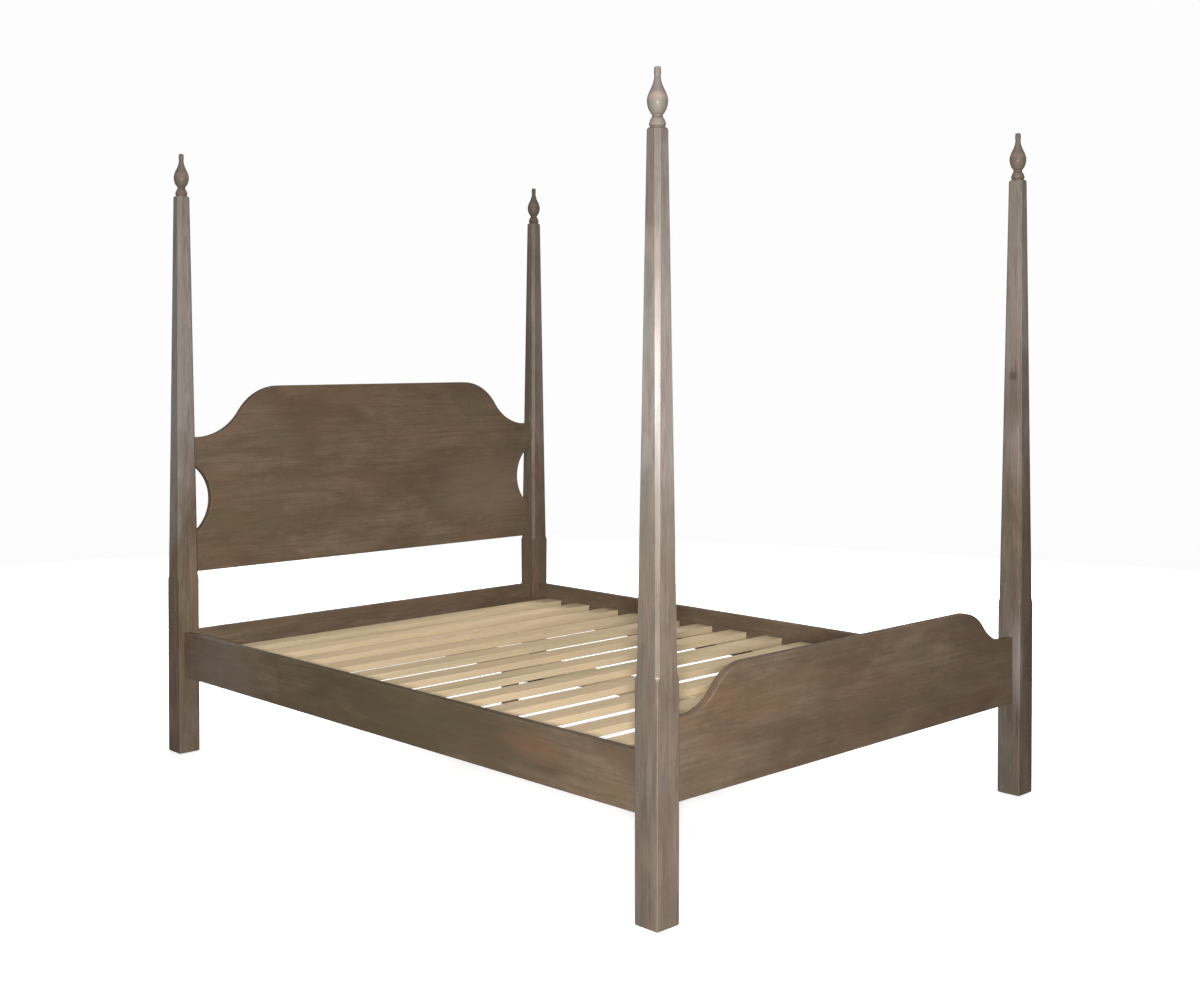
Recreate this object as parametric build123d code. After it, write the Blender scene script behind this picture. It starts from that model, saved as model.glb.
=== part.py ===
from build123d import *
import os
from math import cos, radians, sin, sqrt

# Pencil-post bed frame. Millimetres, +Z up, origin on the floor under the middle of the bed.
# +Y points to the head end. Left and right are as seen from the foot end: left is -X.

# ---- Overall plan: distances between the axes of the posts ----
POST_SPACING_X = 1402.0
POST_SPACING_Y = 1961.0

# ---- Posts: square below, stopped chamfers, tapered octagon above ----
POST_SIDE = 66.5
POST_TOP = 1658.0
POST_TOP_SIDE = 40.4
POST_TOP_BEVEL = 4.0
POST_EASE = 2.5
POST_FOOT_BEVEL = 2.0
STOP_HEIGHT = 510.0
STOP_LENGTH = 21.0
STOP_CHAMFER_FACE = 10.0
TOP_CHAMFER_FACE = 13.0

# ---- Boards between the posts ----
BOARD_THICKNESS = 22.0
BOARD_EASE = 2.0
TENON_THICKNESS = 12.0
TENON_END_GAP = 2.5
TENON_SHOULDER = 16.0
MORTISE_RELIEF = 1.5

HEADBOARD_BOTTOM = 536.0
HEADBOARD_SHOULDER = 939.0
HEADBOARD_CREST = 1090.0
HEADBOARD_SHOULDER_RUN = 19.0
HEADBOARD_OGEE_RUN = 280.0
SCOOP_HEIGHT = 752.0
SCOOP_RADIUS = 122.0
SCOOP_DEPTH = 56.0

FOOTBOARD_BOTTOM = 250.0
FOOTBOARD_SHOULDER = 427.0
FOOTBOARD_CREST = 518.0
FOOTBOARD_SHOULDER_RUN = 43.0
FOOTBOARD_OGEE_RUN = 196.0

# ---- Rails ----
RAIL_BOTTOM = 229.0
RAIL_HEIGHT = 132.0
RAIL_THICKNESS = 24.0
RAIL_SETBACK = 17.0
RAIL_EASE = 2.0

# ---- Slats and what carries them ----
CLEAT_WIDTH = 22.0
CLEAT_HEIGHT = 32.0
CLEAT_TOP = 294.0
CLEAT_END_GAP = 12.0
SLAT_COUNT = 13
SLAT_WIDTH = 68.0
SLAT_THICKNESS = 19.0
SLAT_END_GAP = 2.0
BEAM_WIDTH = 64.0
BEAM_HEIGHT = 44.0
BEAM_END_GAP = 1.0

# ---- Steel saddles that hold the ends of the centre beam ----
SADDLE_STEEL = 3.0
SADDLE_REACH = 40.0
SADDLE_FLANGE = 24.0
SADDLE_DROP = 6.0
SADDLE_SCREW_INSET = 10.0

# ---- Centre legs with levelling feet ----
LEG_SPACING = 600.0
LEG_SIDE = 38.0
LEG_PLATE_SIDE = 62.0
LEG_PLATE_STEEL = 3.0
LEG_SCREW_INSET = 6.0
HANGER_DIAMETER = 6.0
HANGER_DEPTH = 30.0
FOOT_TRAVEL = 9.0
PAD_DIAMETER = 34.0
PAD_HEIGHT = 5.0
PAD_BEVEL = 1.2
COLLAR_ACROSS = 13.0
COLLAR_HEIGHT = 6.0
STEM_DIAMETER = 8.0
STEM_CLEARANCE = 0.3
STEM_LENGTH = 37.0
INSERT_DIAMETER = 12.0
INSERT_LENGTH = 20.0
INSERT_RIM_DIAMETER = 17.0
INSERT_RIM_HEIGHT = 1.5
INSERT_RIM_GAP = 0.6

# ---- Hook fittings that join the side rails to the posts ----
PLATE_WIDTH = 16.0
PLATE_HEIGHT = 104.0
PLATE_STEEL = 2.5
PLATE_SCREW_INSET = 8.0
HOOK_THICKNESS = 3.0
HOOK_HEIGHT = 16.0
HOOK_REACH = 10.0
HOOK_DROP = 4.0
HOOK_OFFSET = 24.0
HOOK_PLAY = 0.3
SLOT_PLAY = 1.0
POCKET_PLAY = 1.5

# ---- Floor glides ----
GLIDE_DIAMETER = 28.0
GLIDE_HEIGHT = 4.0
GLIDE_STANDOFF = 1.5
GLIDE_BEVEL = 0.6
GLIDE_NAIL_DIAMETER = 3.0
GLIDE_NAIL_LENGTH = 16.0

# ---- Turned finials: radii and heights above the top of the post ----
FINIAL_GROOVE_R = 15.6
FINIAL_GROOVE_TOP = 3.0
FINIAL_BEAD_R = 17.8
FINIAL_BEAD_H = 6.2
FINIAL_BELL_START_R = 17.0
FINIAL_BELL_START_H = 9.4
FINIAL_BELL_R = 15.4
FINIAL_BELL_H = 15.0
FINIAL_NECK_R = 11.0
FINIAL_NECK_H = 22.4
FINIAL_RING_R = 11.6
FINIAL_RING_H = 24.4
FINIAL_BULB_START_H = 26.4
FINIAL_BULB_LOW_R = 17.6
FINIAL_BULB_LOW_H = 35.8
FINIAL_BULB_R = 21.3
FINIAL_BULB_H = 47.5
FINIAL_BULB_UPPER_R = 21.9
FINIAL_BULB_UPPER_H = 57.5
FINIAL_SHOULDER_R = 18.3
FINIAL_SHOULDER_H = 71.0
FINIAL_WAIST_R = 11.6
FINIAL_WAIST_H = 85.4
FINIAL_TAPER_R = 7.5
FINIAL_TAPER_H = 99.9
FINIAL_TIP_NECK_R = 6.7
FINIAL_TIP_NECK_H = 106.1
FINIAL_KNOB_R = 7.5
FINIAL_KNOB_H = 117.0
FINIAL_CROWN_START_R = 7.0
FINIAL_CROWN_START_H = 122.6
FINIAL_CROWN_R = 6.2
FINIAL_CROWN_H = 124.6
FINIAL_HEIGHT = 125.5
FINIAL_TIP_FLAT_R = 4.2
PIN_DIAMETER = 8.0
PIN_IN_FINIAL = 26.0
PIN_IN_POST = 30.0
PIN_CLEARANCE = 0.4
PIN_HOLE_RELIEF = 4.0
PIN_BEVEL = 1.0

# ---- Wood screws: (shank diameter, length) ----
SLAT_SCREW = (4.0, 38.0)
CLEAT_SCREW = (4.0, 38.0)
PLATE_SCREW_RAIL = (4.5, 32.0)
PLATE_SCREW_POST = (4.5, 22.0)
SADDLE_SCREW = (4.0, 18.0)
LEG_SCREW = (4.0, 22.0)
SCREW_HEAD_RATIO = 1.9
SCREW_RECESS_RATIO = 0.28
SCREW_RECESS_DEPTH_RATIO = 0.4

# ---- Derived places ----
HALF_X = POST_SPACING_X / 2
HALF_Y = POST_SPACING_Y / 2
HALF_POST = POST_SIDE / 2
POST_INNER_Y = HALF_Y - HALF_POST
STOP_END = STOP_HEIGHT + STOP_LENGTH
RAIL_TOP = RAIL_BOTTOM + RAIL_HEIGHT
RAIL_MID = RAIL_BOTTOM + RAIL_HEIGHT / 2
RAIL_OUTER_X = HALF_X + HALF_POST - RAIL_SETBACK
RAIL_INNER_X = RAIL_OUTER_X - RAIL_THICKNESS
RAIL_CENTRE_X = (RAIL_OUTER_X + RAIL_INNER_X) / 2
CLEAT_CENTRE_X = RAIL_INNER_X - CLEAT_WIDTH / 2
FOOTBOARD_BACK_Y = -HALF_Y + BOARD_THICKNESS / 2
HEAD_RAIL_FRONT_Y = HALF_Y - RAIL_THICKNESS / 2
INNER_LENGTH = HEAD_RAIL_FRONT_Y - FOOTBOARD_BACK_Y
BEAM_BOTTOM = CLEAT_TOP - BEAM_HEIGHT
LEG_TOP = BEAM_BOTTOM - LEG_PLATE_STEEL
COLLAR_TOP = PAD_HEIGHT + COLLAR_HEIGHT
LEG_BOTTOM = COLLAR_TOP + FOOT_TRAVEL + INSERT_RIM_GAP + INSERT_RIM_HEIGHT
POCKET_DEPTH = HOOK_REACH + POCKET_PLAY

END_SIGNS = {"foot": -1, "head": 1}
SIDE_SIGNS = {"left": -1, "right": 1}


# ---------------------------------------------------------------- helpers
def block(x_range, y_range, z_range):
    """A box between pairs of coordinates, given in either order."""
    ranges = (x_range, y_range, z_range)
    middle = [(low + high) / 2 for low, high in ranges]
    size = [abs(high - low) for low, high in ranges]
    return Pos(*middle) * Box(*size)


def span(centre, width):
    """The range of a given width about a centre."""
    return (centre - width / 2, centre + width / 2)


def rod(diameter, z_low, z_high):
    """An upright cylinder on the Z axis between two heights."""
    height = z_high - z_low
    return Pos(0, 0, z_low + height / 2) * Cylinder(diameter / 2, height)


def mirror_x(shape):
    return mirror(shape, about=Plane.YZ)


def mirror_y(shape):
    return mirror(shape, about=Plane.XZ)


def screw_body(kind):
    """A countersunk wood screw on the Z axis, head flush with z = 0, pointing down."""
    diameter, length = kind
    radius = diameter / 2
    head = radius * SCREW_HEAD_RATIO
    outline = Polyline(
        (0, 0),
        (head, 0),
        (radius, radius - head),
        (radius, diameter - length),
        (0, -length),
        close=True,
    )
    return revolve(make_face(Plane.XZ * outline), Axis.Z)


def screw(kind):
    """The screw with its cross recess cut in the head."""
    diameter = kind[0]
    depth = diameter * SCREW_RECESS_DEPTH_RATIO
    arm = Pos(0, 0, -depth / 2) * Box(diameter, diameter * SCREW_RECESS_RATIO, depth)
    return screw_body(kind) - arm - Rot(0, 0, 90) * arm


def facing(point, outward):
    """The place of a screw whose head faces outward at a point."""
    return Plane(origin=point, z_dir=outward).location


def cut_screws(shape, kind, places):
    for place in places:
        shape -= place * screw_body(kind)
    return shape


def screw_group(kind, places):
    return Compound(children=[place * screw(kind) for place in places])


# ---------------------------------------------------------------- posts
def chamfer_radius(side, face):
    """Distance from the axis to a corner chamfer of the given face width."""
    return side / sqrt(2) - face / 2


def corner_cutter(angle):
    """What the plane takes off one corner: a lamb's-tongue stop, then a straight taper."""
    corner = POST_SIDE / sqrt(2)
    low = chamfer_radius(POST_SIDE, STOP_CHAMFER_FACE)
    high = chamfer_radius(POST_TOP_SIDE, TOP_CHAMFER_FACE)
    middle = ((corner + low) / 2, STOP_HEIGHT + STOP_LENGTH / 2)
    outline = [
        TangentArc((corner, STOP_HEIGHT), middle, tangent=(0, 1)),
        TangentArc((low, STOP_END), middle, tangent=(0, -1)),
        Polyline(
            (low, STOP_END),
            (high, POST_TOP),
            (high, POST_TOP + POST_SIDE),
            (POST_SIDE, POST_TOP + POST_SIDE),
            (POST_SIDE, STOP_HEIGHT),
            (corner, STOP_HEIGHT),
        ),
    ]
    along = (cos(radians(angle)), sin(radians(angle)), 0)
    across = (sin(radians(angle)), -cos(radians(angle)), 0)
    section = Plane(origin=(0, 0, 0), x_dir=along, z_dir=across)
    return extrude(section * make_face(outline), amount=POST_SIDE, both=True)


def post_blank():
    """The shaped post on the Z axis, before any joint is cut in it."""
    foot = RectangleRounded(POST_SIDE, POST_SIDE, POST_EASE)
    square = extrude(Pos(0, 0, GLIDE_STANDOFF) * foot, amount=STOP_END - GLIDE_STANDOFF)
    square = chamfer(square.faces().sort_by(Axis.Z)[0].edges(), POST_FOOT_BEVEL)
    taper = loft([
        Pos(0, 0, STOP_END) * Rectangle(POST_SIDE, POST_SIDE),
        Pos(0, 0, POST_TOP) * Rectangle(POST_TOP_SIDE, POST_TOP_SIDE),
    ])
    shaft = square + taper
    for corner in range(4):
        shaft -= corner_cutter(45 + 90 * corner)
    return chamfer(shaft.faces().sort_by(Axis.Z)[-1].edges(), POST_TOP_BEVEL)


def mortise(z_low, z_high):
    """The slot for a tenon in a right-hand post, cut from its inner side face."""
    reach = (-POST_SIDE, MORTISE_RELIEF - TENON_END_GAP)
    return block(reach, span(0, TENON_THICKNESS), (z_low, z_high))


def tenon_heights(low, high):
    """Where a tenon lies between the two edges of its board."""
    return (low + TENON_SHOULDER, high - TENON_SHOULDER)


def rail_socket():
    """Recess and hook pockets for the slotted plate, in a head post's inner end face."""
    x_centre = RAIL_CENTRE_X - HALF_X
    plate = block(span(x_centre, PLATE_WIDTH), (-HALF_POST, PLATE_STEEL - HALF_POST),
                  span(RAIL_MID, PLATE_HEIGHT))
    for offset in (-HOOK_OFFSET, HOOK_OFFSET):
        low = RAIL_MID + offset - HOOK_HEIGHT / 2 - POCKET_PLAY
        high = RAIL_MID + offset + HOOK_HEIGHT / 2 + HOOK_DROP + POCKET_PLAY
        width = HOOK_THICKNESS + SLOT_PLAY + POCKET_PLAY
        plate += block(span(x_centre, width), (-HALF_POST, POCKET_DEPTH - HALF_POST), (low, high))
    return plate


def glide_seat():
    seat = rod(GLIDE_DIAMETER, 0, GLIDE_HEIGHT)
    return seat + rod(GLIDE_NAIL_DIAMETER, 0, GLIDE_NAIL_LENGTH)


def finial_hole():
    depth = PIN_IN_POST + PIN_HOLE_RELIEF
    return rod(PIN_DIAMETER + 2 * PIN_CLEARANCE, POST_TOP - depth, POST_TOP)


def headboard_tenons():
    """The two tenons at each end of the headboard, above and below the scoop."""
    scoop_half = sqrt(SCOOP_RADIUS ** 2 - (SCOOP_RADIUS - SCOOP_DEPTH) ** 2)
    return [
        tenon_heights(HEADBOARD_BOTTOM, SCOOP_HEIGHT - scoop_half),
        tenon_heights(SCOOP_HEIGHT + scoop_half, HEADBOARD_SHOULDER),
    ]


def footboard_tenons():
    return [tenon_heights(FOOTBOARD_BOTTOM, FOOTBOARD_SHOULDER)]


def head_rail_tenons():
    return [tenon_heights(RAIL_BOTTOM, RAIL_TOP)]


def right_post(end):
    """The right-hand post at one end, about its own axis, with every joint cut."""
    post = post_blank()
    tenons = footboard_tenons() if end == "foot" else headboard_tenons() + head_rail_tenons()
    for z_low, z_high in tenons:
        post -= mortise(z_low, z_high)
    socket = rail_socket()
    post -= mirror_y(socket) if end == "foot" else socket
    return post - glide_seat() - finial_hole()


# ---------------------------------------------------------------- boards
def board_outline(bottom, shoulder, crest, shoulder_run, ogee_run):
    """A board shaped along its top: level crest, an ogee down to a shoulder at each post."""
    ogee_end = HALF_X - HALF_POST - shoulder_run
    ogee_start = ogee_end - ogee_run
    middle = ((ogee_start + ogee_end) / 2, (crest + shoulder) / 2)
    edges = [Line((-ogee_start, crest), (ogee_start, crest))]
    for side in (-1, 1):
        turn = (side * middle[0], middle[1])
        edges.append(TangentArc((side * ogee_start, crest), turn, tangent=(side, 0)))
        edges.append(TangentArc((side * ogee_end, shoulder), turn, tangent=(-side, 0)))
        edges.append(Polyline((side * ogee_end, shoulder), (side * HALF_X, shoulder),
                              (side * HALF_X, bottom)))
    edges.append(Line((-HALF_X, bottom), (HALF_X, bottom)))
    return make_face(edges)


def board(outline, y_centre, cut_away=()):
    """A board with eased edges, centred on a plane across the bed."""
    place = Plane(origin=(0, y_centre, 0), x_dir=(1, 0, 0), z_dir=(0, -1, 0))
    solid = extrude(place * outline, amount=BOARD_THICKNESS / 2, both=True)
    for piece in cut_away:
        solid -= piece
    return fillet(solid.faces().filter_by(Axis.Y).edges(), BOARD_EASE)


def fit_between_posts(solid, y_centre, tenons):
    """Shoulder a board against both posts and add its tenons."""
    blank = post_blank()
    for side in (-1, 1):
        solid -= Pos(side * HALF_X, y_centre, 0) * blank
    root = HALF_X - HALF_POST - TENON_SHOULDER
    tip = HALF_X - TENON_END_GAP
    for side in (-1, 1):
        for z_low, z_high in tenons:
            solid += block((side * root, side * tip), span(y_centre, TENON_THICKNESS),
                           (z_low, z_high))
    return solid


def headboard_panel():
    outline = board_outline(HEADBOARD_BOTTOM, HEADBOARD_SHOULDER, HEADBOARD_CREST,
                            HEADBOARD_SHOULDER_RUN, HEADBOARD_OGEE_RUN)
    scoop_x = HALF_X - HALF_POST - SCOOP_DEPTH + SCOOP_RADIUS
    scoop = Rot(90, 0, 0) * Cylinder(SCOOP_RADIUS, 2 * BOARD_THICKNESS)
    scoops = [Pos(side * scoop_x, HALF_Y, SCOOP_HEIGHT) * scoop for side in (-1, 1)]
    return fit_between_posts(board(outline, HALF_Y, scoops), HALF_Y, headboard_tenons())


def footboard_panel():
    outline = board_outline(FOOTBOARD_BOTTOM, FOOTBOARD_SHOULDER, FOOTBOARD_CREST,
                            FOOTBOARD_SHOULDER_RUN, FOOTBOARD_OGEE_RUN)
    panel = fit_between_posts(board(outline, -HALF_Y), -HALF_Y, footboard_tenons())
    return cut_screws(panel, SADDLE_SCREW, saddle_screws("foot"))


def eased_bar(x_range, y_range, z_range, along, ease):
    """A straight bar with its four long edges rounded."""
    bar = block(x_range, y_range, z_range)
    return fillet(bar.edges().filter_by(along), ease)


def head_rail():
    reach = HALF_X - HALF_POST
    rail = eased_bar((-reach, reach), span(HALF_Y, RAIL_THICKNESS), (RAIL_BOTTOM, RAIL_TOP),
                     Axis.X, RAIL_EASE)
    rail = fit_between_posts(rail, HALF_Y, head_rail_tenons())
    return cut_screws(rail, SADDLE_SCREW, saddle_screws("head"))


# ---------------------------------------------------------------- side rails and fittings
def plate_screw_heights():
    reach = PLATE_HEIGHT / 2 - PLATE_SCREW_INSET
    return (RAIL_MID - reach, RAIL_MID, RAIL_MID + reach)


def rail_plate_screws(side, end):
    """Screws through a hook plate into the rail's end grain."""
    sign = END_SIGNS[end]
    return [facing((side * RAIL_CENTRE_X, sign * POST_INNER_Y, z), (0, sign, 0))
            for z in plate_screw_heights()]


def post_plate_screws(side, end):
    """Screws through a slotted plate into the post."""
    sign = END_SIGNS[end]
    return [facing((side * RAIL_CENTRE_X, sign * POST_INNER_Y, z), (0, -sign, 0))
            for z in plate_screw_heights()]


def cleat_screws(side):
    """Screws through the cleat into the rail, in every other gap between slats."""
    centres = slat_centres()
    height = CLEAT_TOP - CLEAT_HEIGHT / 2
    return [facing((side * (RAIL_INNER_X - CLEAT_WIDTH), (centres[i] + centres[i + 1]) / 2, height),
                   (-side, 0, 0))
            for i in range(0, SLAT_COUNT - 1, 2)]


def side_rail(side):
    rail = eased_bar((side * RAIL_INNER_X, side * RAIL_OUTER_X), (-POST_INNER_Y, POST_INNER_Y),
                     (RAIL_BOTTOM, RAIL_TOP), Axis.Y, RAIL_EASE)
    for end, sign in END_SIGNS.items():
        rail -= block(span(side * RAIL_CENTRE_X, PLATE_WIDTH),
                      (sign * POST_INNER_Y, sign * (POST_INNER_Y - PLATE_STEEL)),
                      span(RAIL_MID, PLATE_HEIGHT))
        rail = cut_screws(rail, PLATE_SCREW_RAIL, rail_plate_screws(side, end))
    return cut_screws(rail, CLEAT_SCREW, cleat_screws(side))


def hook(z_centre):
    """One hook in the head-end fitting: it drops over the lower edge of its slot."""
    low = z_centre - HOOK_HEIGHT / 2
    high = z_centre + HOOK_HEIGHT / 2
    width = span(RAIL_CENTRE_X, HOOK_THICKNESS)
    tongue = block(width, (POST_INNER_Y, POST_INNER_Y + HOOK_REACH), (low, high))
    notch = block(width, (POST_INNER_Y, POST_INNER_Y + PLATE_STEEL + HOOK_PLAY),
                  (low, low + HOOK_DROP))
    return tongue - notch


def hook_plate(side, end):
    """The rail's plate with its two hooks."""
    plate = block(span(RAIL_CENTRE_X, PLATE_WIDTH), (POST_INNER_Y - PLATE_STEEL, POST_INNER_Y),
                  span(RAIL_MID, PLATE_HEIGHT))
    for offset in (-HOOK_OFFSET, HOOK_OFFSET):
        plate += hook(RAIL_MID + offset)
    plate = cut_screws(plate, PLATE_SCREW_RAIL, rail_plate_screws(1, "head"))
    return to_corner(plate, side, end)


def slot_plate(side, end):
    """The post's plate, with a slot for each hook."""
    plate = block(span(RAIL_CENTRE_X, PLATE_WIDTH), (POST_INNER_Y, POST_INNER_Y + PLATE_STEEL),
                  span(RAIL_MID, PLATE_HEIGHT))
    for offset in (-HOOK_OFFSET, HOOK_OFFSET):
        low = RAIL_MID + offset - HOOK_HEIGHT / 2 + HOOK_DROP
        plate -= block(span(RAIL_CENTRE_X, HOOK_THICKNESS + SLOT_PLAY),
                       (POST_INNER_Y, POST_INNER_Y + PLATE_STEEL),
                       (low, low + HOOK_HEIGHT + SLOT_PLAY))
    plate = cut_screws(plate, PLATE_SCREW_POST, post_plate_screws(1, "head"))
    return to_corner(plate, side, end)


def to_corner(shape, side, end):
    """Mirror a piece made for the right-hand head corner to another corner."""
    if side < 0:
        shape = mirror_x(shape)
    if end == "foot":
        shape = mirror_y(shape)
    return shape


# ---------------------------------------------------------------- slats and beam
def slat_centres():
    """Places of the slats along the bed, with equal gaps between them and at the ends."""
    gap = (INNER_LENGTH - SLAT_COUNT * SLAT_WIDTH) / (SLAT_COUNT + 1)
    first = FOOTBOARD_BACK_Y + gap + SLAT_WIDTH / 2
    return [first + i * (SLAT_WIDTH + gap) for i in range(SLAT_COUNT)]


def slat_screws(y_centre):
    return [facing((side * CLEAT_CENTRE_X, y_centre, CLEAT_TOP + SLAT_THICKNESS), (0, 0, 1))
            for side in (-1, 1)]


def slat(y_centre):
    reach = RAIL_INNER_X - SLAT_END_GAP
    bar = eased_bar((-reach, reach), span(y_centre, SLAT_WIDTH),
                    (CLEAT_TOP, CLEAT_TOP + SLAT_THICKNESS), Axis.X, BOARD_EASE)
    return cut_screws(bar, SLAT_SCREW, slat_screws(y_centre))


def cleat(side):
    reach = POST_INNER_Y - CLEAT_END_GAP
    bar = block((side * (RAIL_INNER_X - CLEAT_WIDTH), side * RAIL_INNER_X), (-reach, reach),
                (CLEAT_TOP - CLEAT_HEIGHT, CLEAT_TOP))
    for y_centre in slat_centres():
        bar = cut_screws(bar, SLAT_SCREW, slat_screws(y_centre))
    return cut_screws(bar, CLEAT_SCREW, cleat_screws(side))


def centre_beam():
    bar = block(span(0, BEAM_WIDTH),
                (FOOTBOARD_BACK_Y + BEAM_END_GAP, HEAD_RAIL_FRONT_Y - BEAM_END_GAP),
                (BEAM_BOTTOM, CLEAT_TOP))
    for y_centre in leg_centres():
        bar = cut_screws(bar, LEG_SCREW, leg_screws(y_centre))
    return bar


def saddle_face(end):
    """The Y of the board that a saddle is screwed to, and the way into the bed."""
    return (FOOTBOARD_BACK_Y, 1) if end == "foot" else (HEAD_RAIL_FRONT_Y, -1)


def saddle_screws(end):
    y_face, inward = saddle_face(end)
    x_screw = BEAM_WIDTH / 2 + SADDLE_STEEL + SADDLE_FLANGE / 2
    low = BEAM_BOTTOM + SADDLE_SCREW_INSET
    high = CLEAT_TOP - SADDLE_DROP - SADDLE_SCREW_INSET
    return [facing((side * x_screw, y_face + inward * SADDLE_STEEL, z), (0, inward, 0))
            for side in (-1, 1) for z in (low, high)]


def beam_saddle(end):
    """A bent steel saddle: floor, two cheeks and a flange each side."""
    y_face, inward = saddle_face(end)
    depth = (y_face, y_face + inward * SADDLE_REACH)
    cheek = BEAM_WIDTH / 2 + SADDLE_STEEL
    heights = (BEAM_BOTTOM - SADDLE_STEEL, CLEAT_TOP - SADDLE_DROP)
    saddle = block((-cheek, cheek), depth, (BEAM_BOTTOM - SADDLE_STEEL, BEAM_BOTTOM))
    for side in (-1, 1):
        saddle += block((side * BEAM_WIDTH / 2, side * cheek), depth, heights)
        saddle += block((side * cheek, side * (cheek + SADDLE_FLANGE)),
                        (y_face, y_face + inward * SADDLE_STEEL), heights)
    return cut_screws(saddle, SADDLE_SCREW, saddle_screws(end))


# ---------------------------------------------------------------- centre legs
def leg_centres():
    return (-LEG_SPACING / 2, LEG_SPACING / 2)


def leg_screws(y_centre):
    reach = LEG_PLATE_SIDE / 2 - LEG_SCREW_INSET
    return [facing((x, y_centre + y, LEG_TOP), (0, 0, -1))
            for x in (-reach, reach) for y in (-reach, reach)]


def leg_plate(y_centre):
    """The steel plate under the beam, with a threaded hole for the hanger bolt."""
    plate = block(span(0, LEG_PLATE_SIDE), span(y_centre, LEG_PLATE_SIDE), (LEG_TOP, BEAM_BOTTOM))
    plate -= Pos(0, y_centre, 0) * rod(HANGER_DIAMETER, LEG_TOP, BEAM_BOTTOM)
    return cut_screws(plate, LEG_SCREW, leg_screws(y_centre))


def hanger_bolt(y_centre):
    return Pos(0, y_centre, 0) * rod(HANGER_DIAMETER, LEG_TOP - HANGER_DEPTH, BEAM_BOTTOM)


def centre_leg(y_centre):
    leg = eased_bar(span(0, LEG_SIDE), span(0, LEG_SIDE), (LEG_BOTTOM, LEG_TOP), Axis.Z, BOARD_EASE)
    leg -= rod(HANGER_DIAMETER, LEG_TOP - HANGER_DEPTH, LEG_TOP)
    leg -= rod(INSERT_DIAMETER, LEG_BOTTOM, LEG_BOTTOM + INSERT_LENGTH)
    stem_top = COLLAR_TOP + STEM_LENGTH + FOOT_TRAVEL
    leg -= rod(STEM_DIAMETER + 2 * STEM_CLEARANCE, LEG_BOTTOM, stem_top + FOOT_TRAVEL)
    return Pos(0, y_centre, 0) * leg


def leg_insert(y_centre):
    """The rimmed brass insert that the levelling foot screws into."""
    insert = rod(INSERT_DIAMETER, LEG_BOTTOM, LEG_BOTTOM + INSERT_LENGTH)
    insert += rod(INSERT_RIM_DIAMETER, LEG_BOTTOM - INSERT_RIM_HEIGHT, LEG_BOTTOM)
    bore = rod(STEM_DIAMETER + 2 * STEM_CLEARANCE, LEG_BOTTOM - INSERT_RIM_HEIGHT,
               LEG_BOTTOM + INSERT_LENGTH)
    return Pos(0, y_centre, 0) * (insert - bore)


def levelling_foot(y_centre):
    """Round pad, hexagon collar and stem of one levelling foot."""
    pad = rod(PAD_DIAMETER, 0, PAD_HEIGHT)
    pad = chamfer(pad.edges().filter_by(GeomType.CIRCLE), PAD_BEVEL)
    collar = RegularPolygon(COLLAR_ACROSS / 2, 6, major_radius=False)
    foot = pad + extrude(Pos(0, 0, PAD_HEIGHT) * collar, amount=COLLAR_HEIGHT)
    foot += rod(STEM_DIAMETER, COLLAR_TOP, COLLAR_TOP + STEM_LENGTH)
    return Pos(0, y_centre, 0) * foot


# ---------------------------------------------------------------- finials and glides
def finial():
    """The turned finial, standing on z = 0, with a blind hole for its pin."""
    bead = ThreePointArc((FINIAL_GROOVE_R, FINIAL_GROOVE_TOP), (FINIAL_BEAD_R, FINIAL_BEAD_H),
                         (FINIAL_BELL_START_R, FINIAL_BELL_START_H))
    bell = Spline((FINIAL_BELL_START_R, FINIAL_BELL_START_H),
                  (FINIAL_BELL_R, FINIAL_BELL_H),
                  (FINIAL_NECK_R, FINIAL_NECK_H))
    ring = ThreePointArc((FINIAL_NECK_R, FINIAL_NECK_H), (FINIAL_RING_R, FINIAL_RING_H),
                         (FINIAL_NECK_R, FINIAL_BULB_START_H))
    bulb = Spline((FINIAL_NECK_R, FINIAL_BULB_START_H),
                  (FINIAL_BULB_LOW_R, FINIAL_BULB_LOW_H),
                  (FINIAL_BULB_R, FINIAL_BULB_H),
                  (FINIAL_BULB_UPPER_R, FINIAL_BULB_UPPER_H),
                  (FINIAL_SHOULDER_R, FINIAL_SHOULDER_H),
                  (FINIAL_WAIST_R, FINIAL_WAIST_H),
                  (FINIAL_TAPER_R, FINIAL_TAPER_H),
                  (FINIAL_TIP_NECK_R, FINIAL_TIP_NECK_H))
    knob = Spline((FINIAL_TIP_NECK_R, FINIAL_TIP_NECK_H),
                  (FINIAL_KNOB_R, FINIAL_KNOB_H),
                  (FINIAL_CROWN_START_R, FINIAL_CROWN_START_H))
    crown = ThreePointArc((FINIAL_CROWN_START_R, FINIAL_CROWN_START_H),
                          (FINIAL_CROWN_R, FINIAL_CROWN_H),
                          (FINIAL_TIP_FLAT_R, FINIAL_HEIGHT))
    outline = [
        Line((0, 0), (FINIAL_GROOVE_R, 0)),
        Line((FINIAL_GROOVE_R, 0), (FINIAL_GROOVE_R, FINIAL_GROOVE_TOP)),
        bead, bell, ring, bulb, knob, crown,
        Line((FINIAL_TIP_FLAT_R, FINIAL_HEIGHT), (0, FINIAL_HEIGHT)),
        Line((0, FINIAL_HEIGHT), (0, 0)),
    ]
    turned = revolve(Plane.XZ * make_face(outline), Axis.Z)
    return turned - rod(PIN_DIAMETER, 0, PIN_IN_FINIAL)


def finial_pin():
    pin = rod(PIN_DIAMETER, -PIN_IN_POST, PIN_IN_FINIAL)
    return chamfer(pin.edges().filter_by(GeomType.CIRCLE).sort_by(Axis.Z)[0], PIN_BEVEL)


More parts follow.
